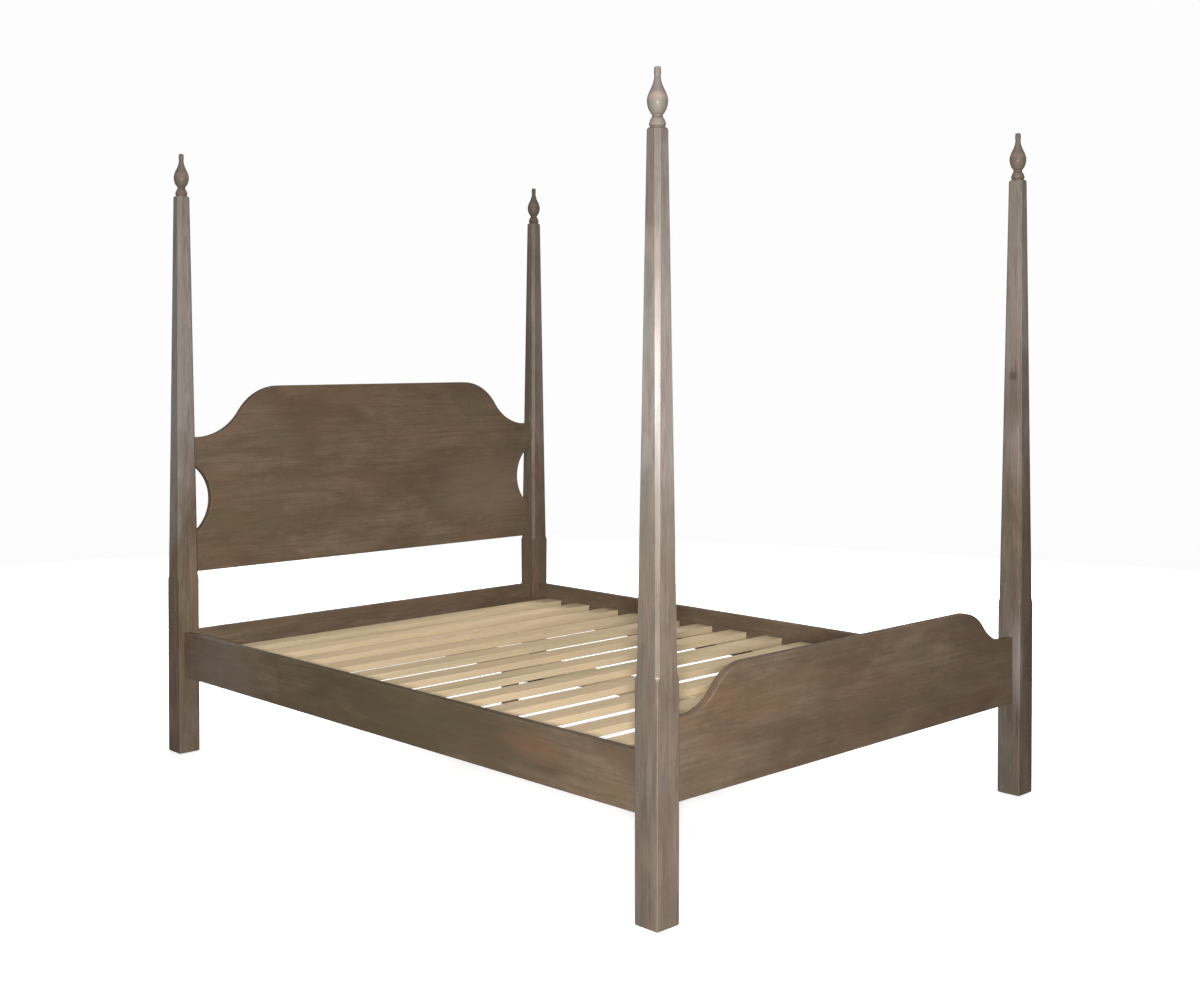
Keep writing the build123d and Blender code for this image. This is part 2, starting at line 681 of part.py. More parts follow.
def post_glide():
    glide = rod(GLIDE_DIAMETER, 0, GLIDE_HEIGHT)
    glide = chamfer(glide.edges().filter_by(GeomType.CIRCLE).sort_by(Axis.Z)[0], GLIDE_BEVEL)
    return glide + rod(GLIDE_NAIL_DIAMETER, GLIDE_HEIGHT, GLIDE_NAIL_LENGTH)


# ---------------------------------------------------------------- the whole bed
def corners():
    """Each post's end, side name and side sign."""
    return [(end, side_name, side) for end in END_SIGNS for side_name, side in SIDE_SIGNS.items()]


def post_parts():
    parts = {}
    for end, side_name, side in corners():
        y_centre = END_SIGNS[end] * HALF_Y
        post = right_post(end)
        if side < 0:
            post = mirror_x(post)
        post = Pos(side * HALF_X, y_centre, 0) * post
        parts[f"post_{end}_{side_name}"] = cut_screws(post, PLATE_SCREW_POST,
                                                      post_plate_screws(side, end))
        top = Pos(side * HALF_X, y_centre, POST_TOP)
        parts[f"finial_{end}_{side_name}"] = top * finial()
        parts[f"finial_pin_{end}_{side_name}"] = top * finial_pin()
        parts[f"hook_plate_{end}_{side_name}"] = hook_plate(side, end)
        parts[f"slot_plate_{end}_{side_name}"] = slot_plate(side, end)
    return parts


def rail_parts():
    parts = {"headboard_panel": headboard_panel(), "footboard_panel": footboard_panel(),
             "head_rail": head_rail()}
    for side_name, side in SIDE_SIGNS.items():
        parts[f"side_rail_{side_name}"] = side_rail(side)
        parts[f"slat_cleat_{side_name}"] = cleat(side)
    return parts


def support_parts():
    parts = {"centre_beam": centre_beam()}
    for number, y_centre in enumerate(slat_centres(), start=1):
        parts[f"slat_{number:02d}"] = slat(y_centre)
    for end in END_SIGNS:
        parts[f"beam_saddle_{end}"] = beam_saddle(end)
    for end, y_centre in zip(END_SIGNS, leg_centres()):
        parts[f"centre_leg_{end}"] = centre_leg(y_centre)
        parts[f"leg_plate_{end}"] = leg_plate(y_centre)
        parts[f"leg_insert_{end}"] = leg_insert(y_centre)
        parts[f"levelling_foot_{end}"] = levelling_foot(y_centre)
    return parts


def fastener_parts():
    """Fasteners of one kind share a node, each as its own solid."""
    rail_places = []
    post_places = []
    for end, _, side in corners():
        rail_places += rail_plate_screws(side, end)
        post_places += post_plate_screws(side, end)
    slat_places = [place for y in slat_centres() for place in slat_screws(y)]
    cleat_places = cleat_screws(-1) + cleat_screws(1)
    saddle_places = saddle_screws("foot") + saddle_screws("head")
    leg_places = [place for y in leg_centres() for place in leg_screws(y)]
    glides = [Pos(side * HALF_X, END_SIGNS[end] * HALF_Y, 0) * post_glide()
              for end, _, side in corners()]
    return {
        "hook_plate_screws": screw_group(PLATE_SCREW_RAIL, rail_places),
        "slot_plate_screws": screw_group(PLATE_SCREW_POST, post_places),
        "slat_screws": screw_group(SLAT_SCREW, slat_places),
        "cleat_screws": screw_group(CLEAT_SCREW, cleat_places),
        "saddle_screws": screw_group(SADDLE_SCREW, saddle_places),
        "leg_plate_screws": screw_group(LEG_SCREW, leg_places),
        "leg_hanger_bolts": Compound(children=[hanger_bolt(y) for y in leg_centres()]),
        "post_glides": Compound(children=glides),
    }


os.makedirs("parts", exist_ok=True)
for parts in (post_parts(), rail_parts(), support_parts(), fastener_parts()):
    for node, shape in parts.items():
        export_step(shape, f"parts/{node}.step")
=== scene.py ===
import math

import bpy
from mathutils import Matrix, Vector


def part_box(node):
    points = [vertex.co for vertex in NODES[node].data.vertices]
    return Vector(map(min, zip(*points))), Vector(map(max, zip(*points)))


# A pencil-post bed frame of stained maple, in metres. Origin on the floor under the middle of
# the bed, +Z up, +Y to the head end. Left is -X, as seen from the foot end.

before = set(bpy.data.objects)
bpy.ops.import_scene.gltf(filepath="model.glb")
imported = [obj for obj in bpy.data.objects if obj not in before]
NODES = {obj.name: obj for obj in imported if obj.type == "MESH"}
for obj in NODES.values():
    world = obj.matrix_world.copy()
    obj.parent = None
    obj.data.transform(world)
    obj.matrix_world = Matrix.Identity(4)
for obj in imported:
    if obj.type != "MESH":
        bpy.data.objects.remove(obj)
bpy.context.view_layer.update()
SCENE = bpy.context.scene


# ---------------------------------------------------------------------------------------------
# Materials: a small helper, then one function for each finish
# ---------------------------------------------------------------------------------------------
class Graph:
    """The node tree of one new material."""

    def __init__(self, name):
        self.material = bpy.data.materials.new(name)
        self.material.use_nodes = True
        self.tree = self.material.node_tree
        self.tree.nodes.clear()

    def add(self, kind, inputs=None, **settings):
        """One node. An input is a plain value or the output socket of another node."""
        made = self.tree.nodes.new(kind)
        for name, value in settings.items():
            setattr(made, name, value)
        for name, value in (inputs or {}).items():
            if isinstance(value, bpy.types.NodeSocket):
                self.tree.links.new(value, made.inputs[name])
            else:
                made.inputs[name].default_value = value
        return made

    def math(self, operation, a, b=0.0, clamp=False):
        made = self.add("ShaderNodeMath", {0: a, 1: b}, operation=operation, use_clamp=clamp)
        return made.outputs[0]

    def vector(self, operation, a, b=(0.0, 0.0, 0.0)):
        made = self.add("ShaderNodeVectorMath", {0: a, 1: b}, operation=operation)
        return made.outputs["Value" if operation in ("LENGTH", "DOT_PRODUCT") else "Vector"]

    def split(self, vector):
        return self.add("ShaderNodeSeparateXYZ", {"Vector": vector}).outputs

    def join(self, x, y, z):
        return self.add("ShaderNodeCombineXYZ", {"X": x, "Y": y, "Z": z}).outputs[0]

    def noise(self, vector, scale, detail=3.0, roughness=0.5, distortion=0.0):
        inputs = {"Vector": vector, "Scale": scale, "Detail": detail}
        inputs.update({"Roughness": roughness, "Distortion": distortion})
        return self.add("ShaderNodeTexNoise", inputs).outputs["Fac"]

    def ramp(self, value, low, high, start=0.0, end=1.0):
        """value taken from low..high to start..end, with soft ends."""
        inputs = {"Value": value, "From Min": low, "From Max": high}
        inputs.update({"To Min": start, "To Max": end})
        made = self.add("ShaderNodeMapRange", inputs, interpolation_type="SMOOTHSTEP")
        return made.outputs["Result"]

    def blend(self, factor, first, second, blend_type="MIX"):
        """A colour that goes from first to second as factor goes from 0 to 1."""
        made = self.tree.nodes.new("ShaderNodeMix")
        made.data_type = "RGBA"
        made.blend_type = blend_type
        for socket, value in ((0, factor), (6, first), (7, second)):
            if isinstance(value, bpy.types.NodeSocket):
                self.tree.links.new(value, made.inputs[socket])
            elif socket:
                made.inputs[socket].default_value = (*value, 1.0)
            else:
                made.inputs[socket].default_value = value
        return made.outputs[2]

    def edge_mask(self, radius, start, full):
        """1 on arrises, 0 on flats: how far a rounded normal leans from the true one."""
        rounded = self.add("ShaderNodeBevel", {"Radius": radius}, samples=6).outputs[0]
        true = self.add("ShaderNodeNewGeometry").outputs["Normal"]
        return self.ramp(self.vector("DOT_PRODUCT", rounded, true), full, start, 1.0, 0.0)

    def surface(self, inputs, height=None, depth=0.0):
        """A Principled surface, with a bump of that depth in metres."""
        shader = self.add("ShaderNodeBsdfPrincipled", inputs)
        if height is not None:
            bump = self.add("ShaderNodeBump", {"Height": height, "Distance": depth})
            self.tree.links.new(bump.outputs[0], shader.inputs["Normal"])
        output = self.add("ShaderNodeOutputMaterial")
        self.tree.links.new(shader.outputs[0], output.inputs["Surface"])
        return self.material


PAINTED_LIGHT_START = 0.70          # painted light: the posts are painted paler from here up
PAINTED_LIGHT_LOW = 1.00       # and palest between these heights, a painted pool of light round the key light's height
PAINTED_LIGHT_HIGH = 1.25
POST_TOP = 1.66
PAINTED_LIGHT_TOP_SHARE = 0.84      # how much of the painted paleness is left at the very top, as a share of the painted band
STAVE_WIDTH = 0.128        # boards are glued up from staves about this wide
POPLAR_STAVE_WIDTH = 0.2   # poplar comes in wider boards
STAVE_SHIFT = 0.37         # how far the joints move over from one piece to the next, in maple staves
PITH_DEPTH = 0.055         # how far behind a stave's face the middle of its tree lay, at the least
PITH_STEP = 0.01           # how much deeper it lay from one piece to the next
PITH_SPREAD = 0.03         # before the depths start again
LOG_LENGTH = 9.0           # a stave is cut from anywhere along a log this long
RING_PITCH = 0.0042
RING_SWAY = 0.045          # how far the rings wander
SWAY_ACROSS = 9.0          # and how often, in bends a metre
SWAY_ALONG = 1.7
EARLY_END = 0.72           # shares of a ring where it has darkened fully and where it turns pale
LATE_START = 0.86


def wood_space(graph, across, through, along, middle):
    """Object coordinates turned so that Z runs along the grain, measured from the piece's middle."""
    axes = graph.split(graph.add("ShaderNodeTexCoord").outputs["Object"])
    turned = graph.join(axes[across], axes[through], axes[along])
    centre = {"X": middle.x, "Y": middle.y, "Z": middle.z}
    return graph.vector("SUBTRACT", turned, (centre[across], centre[through], centre[along]))


def growth_rings(graph, place, seed, stave_width=STAVE_WIDTH):
    """Growth rings, 0 to 1, in staves that lie side by side across X, and a tone for each stave."""
    across, through, along = graph.split(place)
    shifted = graph.math("ADD", across, seed * STAVE_SHIFT * STAVE_WIDTH)
    stave = graph.math("FLOOR", graph.math("DIVIDE", shifted, stave_width))
    chance = graph.add("ShaderNodeTexWhiteNoise", {"W": graph.math("ADD", stave, seed * 7.3)},
                       noise_dimensions="1D")
    draw = graph.split(chance.outputs["Color"])
    local = graph.math("SUBTRACT", shifted, graph.math("MULTIPLY", stave, stave_width))
    offset = graph.math("MULTIPLY", graph.math("ADD", draw[0], -0.5), 0.5 * stave_width)
    from_pith = graph.math("SUBTRACT", graph.math("SUBTRACT", local, 0.5 * stave_width), offset)
    depth = graph.math("ADD", through, PITH_DEPTH + (PITH_STEP * seed) % PITH_SPREAD)
    run = graph.math("ADD", along, graph.math("MULTIPLY", draw[1], LOG_LENGTH))
    bends = graph.join(graph.math("MULTIPLY", from_pith, SWAY_ACROSS),
                       graph.math("MULTIPLY", depth, SWAY_ACROSS),
                       graph.math("MULTIPLY", run, SWAY_ALONG))
    wander = graph.math("ADD", graph.noise(bends, 1.0, 4.0, 0.55), -0.5)
    sway = graph.math("MULTIPLY", wander, RING_SWAY)
    radius = graph.math("ADD", graph.vector("LENGTH", graph.join(from_pith, depth, 0.0)), sway)
    phase = graph.math("FRACT", graph.math("DIVIDE", radius, RING_PITCH))
    early = graph.ramp(phase, 0.0, EARLY_END)
    late = graph.ramp(phase, LATE_START, 1.0, 1.0, 0.0)
    return graph.math("MULTIPLY", early, late), chance.outputs["Value"]


def stretched(graph, place, across, along):
    """Grain space squeezed so that a noise comes out in streaks along the grain."""
    return graph.vector("MULTIPLY", place, (across, across, along))


STAIN_DARK = (0.089, 0.060, 0.038)
STAIN_MID = (0.140, 0.098, 0.063)
STAIN_LIGHT = (0.187, 0.138, 0.095)
STAIN_RED = (0.172, 0.092, 0.056)
STAIN_OLIVE = (0.110, 0.092, 0.050)
STAIN_GREY = (0.190, 0.160, 0.130)
# The pale stain tone, which also paints light onto the posts.
PALE_STAIN_AND_PAINTED_LIGHT = (0.250, 0.231, 0.213)
STAIN_SLATE = (0.108, 0.098, 0.086)
STAIN_MAUVE = (0.150, 0.132, 0.128)
STAIN_ROSE = (0.330, 0.245, 0.200)
STAIN_MOSS = (0.165, 0.158, 0.128)
# Deep stain, which also paints shade into the finials' grooves.
DEEP_STAIN_AND_PAINTED_SHADE = (0.052, 0.034, 0.022)
BARE_ARRIS = (0.260, 0.205, 0.155)
PATCH_CORE = 0.2           # the share of a patch's reach that is at full strength
MAPLE_GRAIN_DEPTH = 0.00012


def patch_mask(graph, spot, edge_noise):
    """A soft-edged oval round a point, at the patch's strength in the middle, with an uneven edge."""
    away = graph.vector("SUBTRACT", graph.add("ShaderNodeTexCoord").outputs["Object"], spot["at"])
    away = graph.vector("MULTIPLY", away, [1.0 / length for length in spot["reach"]])
    uneven = graph.math("MULTIPLY", graph.math("ADD", edge_noise, -0.5), spot["uneven"])
    distance = graph.math("ADD", graph.vector("LENGTH", away), uneven)
    return graph.ramp(distance, PATCH_CORE, 1.0, spot["strength"], 0.0)


def stain_variation(graph, shifted):
    """Where the stain took lighter, darker, redder or greener: blotches, streaks and fine lines."""
    blotch = graph.noise(stretched(graph, shifted, 9.0, 3.6), 1.0, 4.0, 0.6, 0.4)
    streak = graph.noise(stretched(graph, shifted, 95.0, 4.5), 1.0, 3.0, 0.6)
    mottle = graph.noise(stretched(graph, shifted, 42.0, 17.0), 1.0, 3.0, 0.6, 0.6)
    colour = graph.blend(graph.ramp(blotch, 0.34, 0.66), STAIN_DARK, STAIN_LIGHT)
    colour = graph.blend(0.42, colour, STAIN_MID)
    colour = graph.blend(graph.ramp(streak, 0.40, 0.72, 0.0, 0.42), colour, STAIN_DARK)
    line = graph.noise(stretched(graph, shifted, 210.0, 3.2), 1.0, 2.0, 0.6)
    colour = graph.blend(graph.ramp(line, 0.56, 0.70, 0.0, 0.40), colour, STAIN_DARK)
    colour = graph.blend(graph.ramp(mottle, 0.50, 0.74, 0.0, 0.30), colour, STAIN_LIGHT)
    colour = graph.blend(graph.ramp(mottle, 0.48, 0.28, 0.0, 0.28), colour, STAIN_DARK)

    red = graph.noise(stretched(graph, shifted, 7.0, 2.6), 1.3, 2.0, 0.5)
    colour = graph.blend(graph.ramp(red, 0.52, 0.70, 0.0, 0.36), colour, STAIN_RED)
    olive = graph.noise(stretched(graph, shifted, 6.0, 2.2), 1.9, 2.0, 0.5)
    colour = graph.blend(graph.ramp(olive, 0.52, 0.70, 0.0, 0.45), colour, STAIN_OLIVE)
    figure = graph.noise(stretched(graph, shifted, 17.0, 40.0), 1.0, 3.0, 0.65, 1.2)
    colour = graph.blend(graph.ramp(figure, 0.56, 0.70, 0.0, 0.28), colour, STAIN_DARK)
    return colour, blotch, mottle


# How many streaks there are to a metre across and along the grain, and their tint.
TINTS = (
    (55.0, 4.0, (1.12, 0.95, 0.92)),
    (46.0, 3.2, (0.86, 0.96, 0.88)),
    (110.0, 8.0, (0.78, 0.78, 0.80)),
    (80.0, 6.0, (1.20, 1.20, 1.24)),
    (24.0, 11.0, (0.86, 0.84, 0.84)),
)


def tinted(graph, colour, shifted, strength):
    """Streaks of warmer, greener, darker and paler stain over a colour."""
    for across, along, tint in TINTS:
        streak = graph.noise(stretched(graph, shifted, across, along), 1.0, 3.0, 0.6, 0.5)
        colour = graph.blend(graph.ramp(streak, 0.50, 0.66, 0.0, strength), colour, tint, "MULTIPLY")
    return colour


def stained_maple(name, middle, across, through, along, seed,
                  pale=0.0, painted_light_band=None, patches=(), streaky=0.35):
    """Maple under a grey-brown stain and a satin lacquer.

    pale is how far the stain goes to its pale tone. The next argument, when given, is how pale the
    post is painted in a pool of light round the key light's height: the colour goes from pale to it on
    the way up and falls back a little towards the top.
    """
    graph = Graph(name)
    place = wood_space(graph, across, through, along, middle)
    ring, tone = growth_rings(graph, place, seed)
    shifted = graph.vector("ADD", place, (seed * 1.7, seed * 0.9, seed * 2.3))
    fibre = graph.noise(stretched(graph, shifted, 900.0, 24.0), 1.0, 2.0, 0.6)
    colour, blotch, mottle = stain_variation(graph, shifted)
    # Painted light: a pool of light round the key light's height, painted into the posts' colour as a
    # paler band.
    if painted_light_band:
        climb = graph.split(graph.add("ShaderNodeTexCoord").outputs["Object"])[2]
        rising = graph.ramp(climb, PAINTED_LIGHT_START, PAINTED_LIGHT_LOW, pale, painted_light_band)
        falling = graph.ramp(climb, PAINTED_LIGHT_HIGH, POST_TOP, 1.0, PAINTED_LIGHT_TOP_SHARE)
        pale = graph.math("MULTIPLY", rising, falling)
    colour = graph.blend(pale, colour, PALE_STAIN_AND_PAINTED_LIGHT)
    for spot in patches:
        colour = graph.blend(patch_mask(graph, spot, blotch), colour, spot["colour"])

    colour = tinted(graph, colour, shifted, streaky)
    colour = graph.blend(graph.math("MULTIPLY", ring, 0.20), colour, STAIN_DARK)
    colour = graph.blend(graph.ramp(tone, 0.0, 1.0, 0.0, 0.16), colour, STAIN_DARK)
    colour = graph.blend(graph.ramp(fibre, 0.58, 0.76, 0.0, 0.36), colour, STAIN_DARK)
    worn = graph.math("MULTIPLY", graph.edge_mask(0.003, 0.995, 0.93),
                      graph.ramp(mottle, 0.40, 0.62, 0.15, 0.6))
    colour = graph.blend(worn, colour, BARE_ARRIS)

    sheen = graph.noise(stretched(graph, shifted, 26.0, 9.0), 1.0, 3.0)
    roughness = graph.ramp(sheen, 0.3, 0.7, 0.47, 0.58)
    height = graph.math("ADD", graph.math("MULTIPLY", fibre, -0.5), graph.math("MULTIPLY", ring, -0.3))
    inputs = {"Base Color": colour, "Roughness": roughness, "IOR": 1.5, "Specular IOR Level": 0.12}
    inputs.update({"Coat Weight": 0.065, "Coat Roughness": 0.22, "Coat IOR": 1.5})
    return graph.surface(inputs, height, MAPLE_GRAIN_DEPTH)


POPLAR_TAN = (0.52, 0.39, 0.24)
POPLAR_CREAM = (0.64, 0.51, 0.34)
POPLAR_HEART = (0.36, 0.34, 0.20)
POPLAR_RING = (0.36, 0.25, 0.14)
POPLAR_FIBRE = (0.30, 0.21, 0.12)
POPLAR_STAVE = (0.40, 0.30, 0.19)
POPLAR_ARRIS = (0.70, 0.58, 0.42)
POPLAR_GRAIN_DEPTH = 0.00015
PLANER_PITCH = 0.0021


def raw_poplar(name, middle, across, through, along, seed):
    """Planed, unfinished poplar: pale cream with green heartwood streaks and planer marks."""
    graph = Graph(name)
    place = wood_space(graph, across, through, along, middle)
    ring, tone = growth_rings(graph, place, seed, POPLAR_STAVE_WIDTH)
    shifted = graph.vector("ADD", place, (seed * 1.1, seed * 1.9, seed * 0.7))
    streak = graph.noise(stretched(graph, shifted, 60.0, 2.5), 1.0, 4.0, 0.6)
    heart = graph.noise(stretched(graph, shifted, 18.0, 1.1), 1.0, 2.0, 0.5)
    fibre = graph.noise(stretched(graph, shifted, 1100.0, 30.0), 1.0, 2.0, 0.6)
    colour = graph.blend(streak, POPLAR_TAN, POPLAR_CREAM)
    colour = graph.blend(graph.ramp(heart, 0.55, 0.70, 0.0, 0.55), colour, POPLAR_HEART)
    colour = graph.blend(graph.math("MULTIPLY", ring, 0.30), colour, POPLAR_RING)
    colour = graph.blend(graph.ramp(fibre, 0.58, 0.80, 0.0, 0.35), colour, POPLAR_FIBRE)
    colour = graph.blend(graph.math("MULTIPLY", tone, 0.2), colour, POPLAR_STAVE)
    turns = graph.math("MULTIPLY", graph.split(place)[2], 2 * math.pi / PLANER_PITCH)
    marks = graph.math("SINE", turns)
    height = graph.math("ADD", graph.math("MULTIPLY", fibre, -0.8), graph.math("MULTIPLY", marks, 0.05))
    worn = graph.edge_mask(0.0025, 0.995, 0.90)
    colour = graph.blend(graph.math("MULTIPLY", worn, 0.35), colour, POPLAR_ARRIS)
    roughness = graph.ramp(fibre, 0.3, 0.8, 0.62, 0.80)
    inputs = {"Base Color": colour, "Roughness": roughness, "Specular IOR Level": 0.3}
    return graph.surface(inputs, height, POPLAR_GRAIN_DEPTH)


ZINC_ARRIS = (0.80, 0.80, 0.79)
BRASS_BRIGHT = (0.72, 0.55, 0.26)
BRASS_TARNISH = (0.45, 0.32, 0.14)
BRASS_ARRIS = (0.86, 0.72, 0.42)
PLASTIC_SCUFF = (0.30, 0.29, 0.27)
SCRATCH_DEPTH = 0.00002
LATHE_DEPTH = 0.00001
PLASTIC_GRAIN_DEPTH = 0.00003


def plated_steel(name, light, dark, roughness_low, roughness_high):
    """Zinc-plated steel: soft mottled plating, fine scratches and brighter, rubbed arrises."""
    graph = Graph(name)
    place = graph.add("ShaderNodeTexCoord").outputs["Object"]
    cloud = graph.noise(place, 70.0, 4.0, 0.6, 0.5)
    speckle = graph.noise(place, 900.0, 2.0, 0.6)
    scratch = graph.noise(graph.vector("MULTIPLY", place, (2400.0, 2400.0, 90.0)), 1.0, 2.0, 0.6)
    colour = graph.blend(graph.ramp(cloud, 0.3, 0.7), dark, light)
    colour = graph.blend(graph.ramp(speckle, 0.6, 0.8, 0.0, 0.4), colour, dark)
    worn = graph.edge_mask(0.0008, 0.99, 0.85)
    colour = graph.blend(graph.math("MULTIPLY", worn, 0.6), colour, ZINC_ARRIS)
    wear = graph.math("ADD", graph.math("MULTIPLY", cloud, 0.6), graph.math("MULTIPLY", scratch, 0.4))
    roughness = graph.ramp(wear, 0.3, 0.7, roughness_low, roughness_high)
    inputs = {"Base Color": colour, "Metallic": 1.0, "Roughness": roughness}
    return graph.surface(inputs, scratch, SCRATCH_DEPTH)


def plain_brass(name):
    """Turned brass that has dulled a little."""
    graph = Graph(name)
    place = graph.add("ShaderNodeTexCoord").outputs["Object"]
    tarnish = graph.noise(place, 160.0, 4.0, 0.6)
    rings = graph.noise(graph.vector("MULTIPLY", place, (60.0, 60.0, 6000.0)), 1.0, 1.0)
    colour = graph.blend(graph.ramp(tarnish, 0.4, 0.7), BRASS_BRIGHT, BRASS_TARNISH)
    worn = graph.edge_mask(0.0006, 0.99, 0.85)
    colour = graph.blend(graph.math("MULTIPLY", worn, 0.5), colour, BRASS_ARRIS)
    roughness = graph.ramp(tarnish, 0.3, 0.7, 0.22, 0.42)
    inputs = {"Base Color": colour, "Metallic": 1.0, "Roughness": roughness}
    return graph.surface(inputs, rings, LATHE_DEPTH)


def moulded_plastic(name, colour_low, colour_high):
    """Moulded plastic with a fine spark-eroded grain and scuffed edges."""
    graph = Graph(name)
    place = graph.add("ShaderNodeTexCoord").outputs["Object"]
    grain = graph.noise(place, 2600.0, 2.0, 0.5)
    cloud = graph.noise(place, 55.0, 3.0, 0.6)
    colour = graph.blend(graph.ramp(cloud, 0.35, 0.7), colour_low, colour_high)
    scuffed = graph.math("MULTIPLY", graph.edge_mask(0.0012, 0.99, 0.85), graph.ramp(cloud, 0.4, 0.6))
    colour = graph.blend(graph.math("MULTIPLY", scuffed, 0.5), colour, PLASTIC_SCUFF)
    inputs = {"Base Color": colour, "Roughness": graph.ramp(cloud, 0.3, 0.7, 0.42, 0.58)}
    return graph.surface(inputs, grain, PLASTIC_GRAIN_DEPTH)


# ---------------------------------------------------------------------------------------------
# Which piece gets which finish
# ---------------------------------------------------------------------------------------------
def middle_of(node):
    """The middle of a CAD node's box."""
    low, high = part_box(node)
    return (low + high) / 2


def dress(node, material):
    """Gives a CAD node that material and no other."""
    mesh = NODES[node].data
    mesh.materials.clear()
    mesh.materials.append(material)


# How pale each post's stain is below its painted band of light, how pale it is painted in that band, and
# how pale its finial is.
POST_TONES = {
    ("foot", "left"): (0.26, 0.84, 0.58),
    ("foot", "right"): (0.04, 0.60, 0.15),
    ("head", "left"): (0.08, 0.86, 0.30),
    ("head", "right"): (0.08, 0.46, 0.15),
}


def patch(at, reach, colour, strength, uneven=1.4):
    """A place where the stain took another colour: a point, how far it reaches, and how strongly."""
    return {"at": at, "reach": reach, "colour": colour, "strength": strength, "uneven": uneven}


def board_patches():
    """The larger uneven places in the stain, each placed on its board."""
    low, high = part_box("headboard_panel")
    face = low.y
    headboard = [
        patch((-0.30, face, high.z - 0.07), (0.26, 1.0, 0.05), DEEP_STAIN_AND_PAINTED_SHADE, 0.30),
        patch((0.20, face, high.z - 0.18), (0.34, 1.0, 0.10), STAIN_RED, 0.20),
        patch((-0.42, face, low.z + 0.12), (0.22, 1.0, 0.06), STAIN_OLIVE, 0.25),
        patch((0.48, face, low.z + 0.18), (0.28, 1.0, 0.16), STAIN_LIGHT, 0.60),
    ]
    low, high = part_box("footboard_panel")
    face = low.y
    footboard = [
        patch((-0.32, face, high.z - 0.11), (0.16, 1.0, 0.05), STAIN_RED, 0.40),
        patch((0.10, face, low.z + 0.10), (0.44, 1.0, 0.16), STAIN_DARK, 0.35),
        patch((0.50, face, low.z + 0.12), (0.24, 1.0, 0.18), STAIN_DARK, 0.38),
    ]
    low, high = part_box("side_rail_left")
    face = low.x
    rail = [
        patch((face, -0.10, high.z - 0.06), (1.0, 0.80, 0.24), STAIN_OLIVE, 0.65),
        patch((face, -0.25, high.z - 0.06), (1.0, 0.90, 0.24), DEEP_STAIN_AND_PAINTED_SHADE, 0.40),
        patch((face, 0.72, high.z - 0.07), (1.0, 0.26, 0.20), STAIN_GREY, 0.50),
        patch((face, -0.62, high.z - 0.05), (1.0, 0.14, 0.05), STAIN_RED, 0.50),
    ]
    return {"headboard_panel": headboard, "footboard_panel": footboard, "side_rail_left": rail}


def post_patches(end, side):
    """The larger uneven places in the stain on the posts, and painted light on the head-left post's left
    face.
    """
    low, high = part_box(f"post_{end}_{side}")
    if (end, side) == ("foot", "right"):
        return [
            patch((low.x, low.y, 1.06), (0.10, 0.10, 0.11), DEEP_STAIN_AND_PAINTED_SHADE, 0.45),
            patch((high.x, low.y, 0.40), (0.10, 0.06, 1.00), STAIN_DARK, 0.85),
            patch((low.x, high.y, 0.25), (0.12, 0.12, 0.90), STAIN_SLATE, 0.70),
            patch((low.x, low.y, 0.38), (0.03, 0.04, 0.16), PALE_STAIN_AND_PAINTED_LIGHT, 0.55),
            patch((low.x, low.y + 0.03, 1.13), (0.03, 0.016, 0.016), DEEP_STAIN_AND_PAINTED_SHADE, 0.60),
        ]
    if (end, side) == ("foot", "left"):
        return [
            patch((low.x, high.y, 0.30), (0.04, 0.10, 0.80), STAIN_SLATE, 0.60),
            patch((low.x + 0.012, high.y - 0.012, 1.65), (0.05, 0.12, 0.50), STAIN_SLATE, 0.82),
        ]
    if (end, side) == ("head", "left"):
        # Painted light: the head-left post's left face is painted paler, as if more light fell on that
        # side.
        return [patch((low.x, high.y, 1.15), (0.06, 0.12, 0.80), PALE_STAIN_AND_PAINTED_LIGHT, 0.95)]
    return [patch((low.x, high.y, 1.15), (0.05, 0.10, 0.80), STAIN_DARK, 0.60)]


FINIAL_BAND_STRENGTH = 0.4
FINIAL_BAND_REACH = 0.08   # wide enough to take in the whole finial
FINIAL_BAND_UNEVEN = 0.3


def finial_patches(end, side, pale):
    """Bands of stain and of painted shade on a turned finial, measured up from its foot.

    It is greyer round its taper, rosier at its shoulder and greener round its bulb, and has painted shade
    in the narrow grooves beside its bead and neck.
    """
    low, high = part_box(f"finial_{end}_{side}")
    middle = (low + high) / 2
    share = FINIAL_BAND_STRENGTH + pale
    bands = (
        (0.094, 0.034, STAIN_MAUVE, share * 0.75),
        (0.064, 0.010, STAIN_ROSE, share * 0.45),
        (0.040, 0.024, STAIN_MOSS, share * 0.55),
        # Painted shade: dark rings in the grooves by the foot bead and beside the neck, darker than the
        # grooves' own shade.
        (0.0015, 0.0035, DEEP_STAIN_AND_PAINTED_SHADE, 0.85),
        (0.0220, 0.0030, DEEP_STAIN_AND_PAINTED_SHADE, 0.55),
        (0.0268, 0.0025, DEEP_STAIN_AND_PAINTED_SHADE, 0.45),
    )
    return [patch((middle.x, middle.y, low.z + up), (FINIAL_BAND_REACH, FINIAL_BAND_REACH, reach),
                  colour, strength, FINIAL_BAND_UNEVEN)
            for up, reach, colour, strength in bands]


POST_STREAKS = 0.9
FINIAL_STREAKS = 0.5
SEEDS_PER_POST = 3.0       # seeds for a post, its finial and one spare
BOARD_SEED = 13.0
BOARD_GRAIN = (            # the axes across, through and along each board's grain
    ("headboard_panel", "ZYX"),
    ("footboard_panel", "ZYX"),
    ("head_rail", "ZYX"),
    ("side_rail_left", "ZXY"),
    ("side_rail_right", "ZXY"),
)


def dress_in_maple(node, axes, seed, *tones, **more):
    """Gives a CAD node its own stained maple, with the grain along the last of the axes."""
    dress(node, stained_maple(f"maple_{node}", middle_of(node), *axes, seed, *tones, **more))


